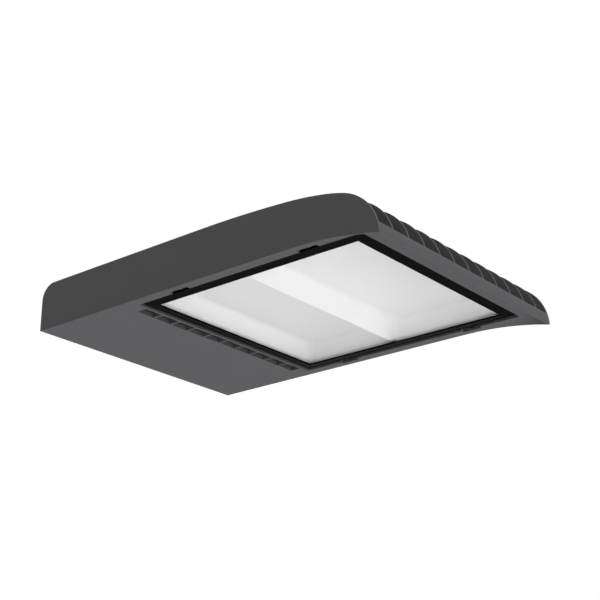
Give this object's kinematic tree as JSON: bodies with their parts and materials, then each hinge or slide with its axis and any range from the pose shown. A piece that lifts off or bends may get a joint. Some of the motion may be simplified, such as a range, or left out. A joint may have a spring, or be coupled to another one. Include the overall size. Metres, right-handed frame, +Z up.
{
  "type": "shoebox area light",
  "caption": "Flat die-cast LED area light with a finned top, a framed glass lens below, a hinged driver bay lid and a rear face that bolts to an arm or pole.",
  "frame": {"origin": "middle of the arm bolt pattern, on the rear face", "axes": "+Z up, +Y out of the rear face towards the arm, +X across the light, nose towards -Y"},
  "size_m": [0.34, 0.512, 0.074],
  "materials": {
    "casting": "dark grey powder coat on die-cast aluminium",
    "black_rubber": "matt silicone",
    "clear_rubber": "translucent silicone",
    "steel": "stainless",
    "bezel": "satin black",
    "black_screws": "black oxide",
    "lens": "clear tempered glass",
    "reflector": "white high-reflectance moulding",
    "opal": "opal acrylic",
    "board": "white solder resist on an aluminium core",
    "led": "yellow phosphor",
    "driver_case": "bare anodised",
    "surge_case": "potted case",
    "terminal": "moulded nylon",
    "green_screw": "green zinc",
    "black_lead": "insulated wire",
    "white_lead": "insulated wire",
    "green_lead": "insulated wire",
    "red_lead": "insulated wire"
  },
  "bodies": {
    "light_head": {"board_link_leads": "white_lead", "cover_gasket": "black_rubber", "diffuser_front": "opal", "diffuser_rear": "opal", "driver_screws": "steel", "ground_lead": "green_lead", "ground_screw": "green_screw", "hinge_pins": "steel", "housing": "casting", "led_board_front": "board", "led_board_rear": "board", "led_board_screws": "steel", "led_driver": "driver_case", "led_lead_negative": "black_lead", "led_lead_positive": "red_lead", "leds_front": "led", "leds_rear": "led", "lens_frame": "bezel", "lens_frame_screws": "black_screws", "lens_gasket": "clear_rubber", "lens_glass": "lens", "line_lead": "black_lead", "neutral_lead": "white_lead", "reflector_front": "reflector", "reflector_rear": "reflector", "surge_lead": "black_lead", "surge_protector": "surge_case", "surge_protector_screws": "steel", "terminal_block": "terminal", "terminal_block_screws": "steel", "wire_entry_bushing": "black_rubber", "wireway_grommet": "black_rubber"},
    "lid": {"top_cover": "casting"},
    "left_screw": {"cover_screw_left": "steel", "retaining_ring_left": "steel"},
    "right_screw": {"cover_screw_right": "steel", "retaining_ring_right": "steel"}
  },
  "joints": [
    {"name": "lid_hinge", "type": "hinge", "parent": "light_head", "child": "lid", "pos_m": [0, -0.14775, 0.033], "axis": [1, 0, 0], "range_deg": [0, 95]},
    {"name": "left_screw_turn", "type": "hinge", "parent": "lid", "child": "left_screw", "pos_m": [-0.13, -0.038, 0.03], "axis": [0, 0, 1], "continuous": true},
    {"name": "right_screw_turn", "type": "hinge", "parent": "lid", "child": "right_screw", "pos_m": [0.13, -0.038, 0.03], "axis": [0, 0, 1], "continuous": true}
  ]
}
